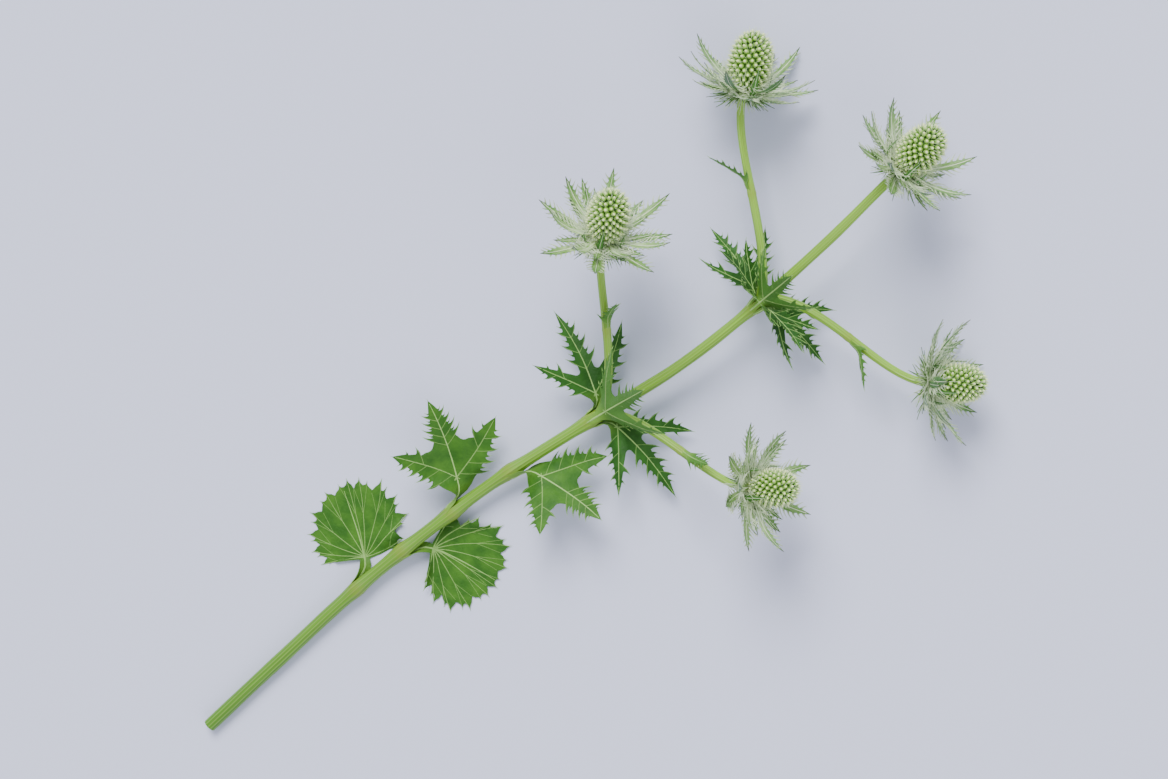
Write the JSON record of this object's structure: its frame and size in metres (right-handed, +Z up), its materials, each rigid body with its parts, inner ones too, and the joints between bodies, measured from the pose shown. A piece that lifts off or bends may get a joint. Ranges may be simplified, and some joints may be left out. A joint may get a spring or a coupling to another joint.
{
  "type": "sea holly stem",
  "caption": "Cut stem of sea holly lying down, with spiny silver-green bract ruffs round egg-shaped flower cones, branched stalks and cut leaves.",
  "frame": {"origin": "centre of the part's box in plan, at the height of the surface it lies on", "axes": "+Y along the stem from its cut end to the terminal head, +Z up from the surface, +X to the right seen from above"},
  "size_m": [0.2571, 0.5305, 0.1003],
  "materials": {
    "stem_green": "fresh green stem, fine lengthwise ribs, satin",
    "cone_green": "packed green buds with pale tips",
    "bract_silver": "silvery white-green inside, mid green outside",
    "leaf_light": "mid green leaf with pale veins, satin",
    "leaf_dark": "dark green leaf with pale midribs, satin"
  },
  "bodies": {
    "root": {"main_stem": "stem_green", "side_stem_1": "stem_green", "side_stem_2": "stem_green", "side_stem_3": "stem_green", "side_stem_4": "stem_green", "flower_cone_1": "cone_green", "flower_cone_2": "cone_green", "flower_cone_3": "cone_green", "flower_cone_4": "cone_green", "flower_cone_5": "cone_green", "bract_ruff_1": "bract_silver", "bract_ruff_2": "bract_silver", "bract_ruff_3": "bract_silver", "bract_ruff_4": "bract_silver", "bract_ruff_5": "bract_silver", "lower_leaf_1": "leaf_light", "lower_leaf_2": "leaf_light", "lower_leaf_3": "leaf_light", "lower_leaf_4": "leaf_light", "middle_leaf_1": "leaf_dark", "middle_leaf_2": "leaf_dark", "middle_leaf_3": "leaf_dark", "whorl_leaf_1": "leaf_dark", "whorl_leaf_2": "leaf_dark", "whorl_leaf_3": "leaf_dark", "whorl_leaf_4": "leaf_dark", "whorl_leaf_5": "leaf_dark", "side_leaf_1": "leaf_dark", "side_leaf_2": "leaf_dark", "side_leaf_3": "leaf_dark", "side_leaf_4": "leaf_dark"}
  },
  "joints": []
}
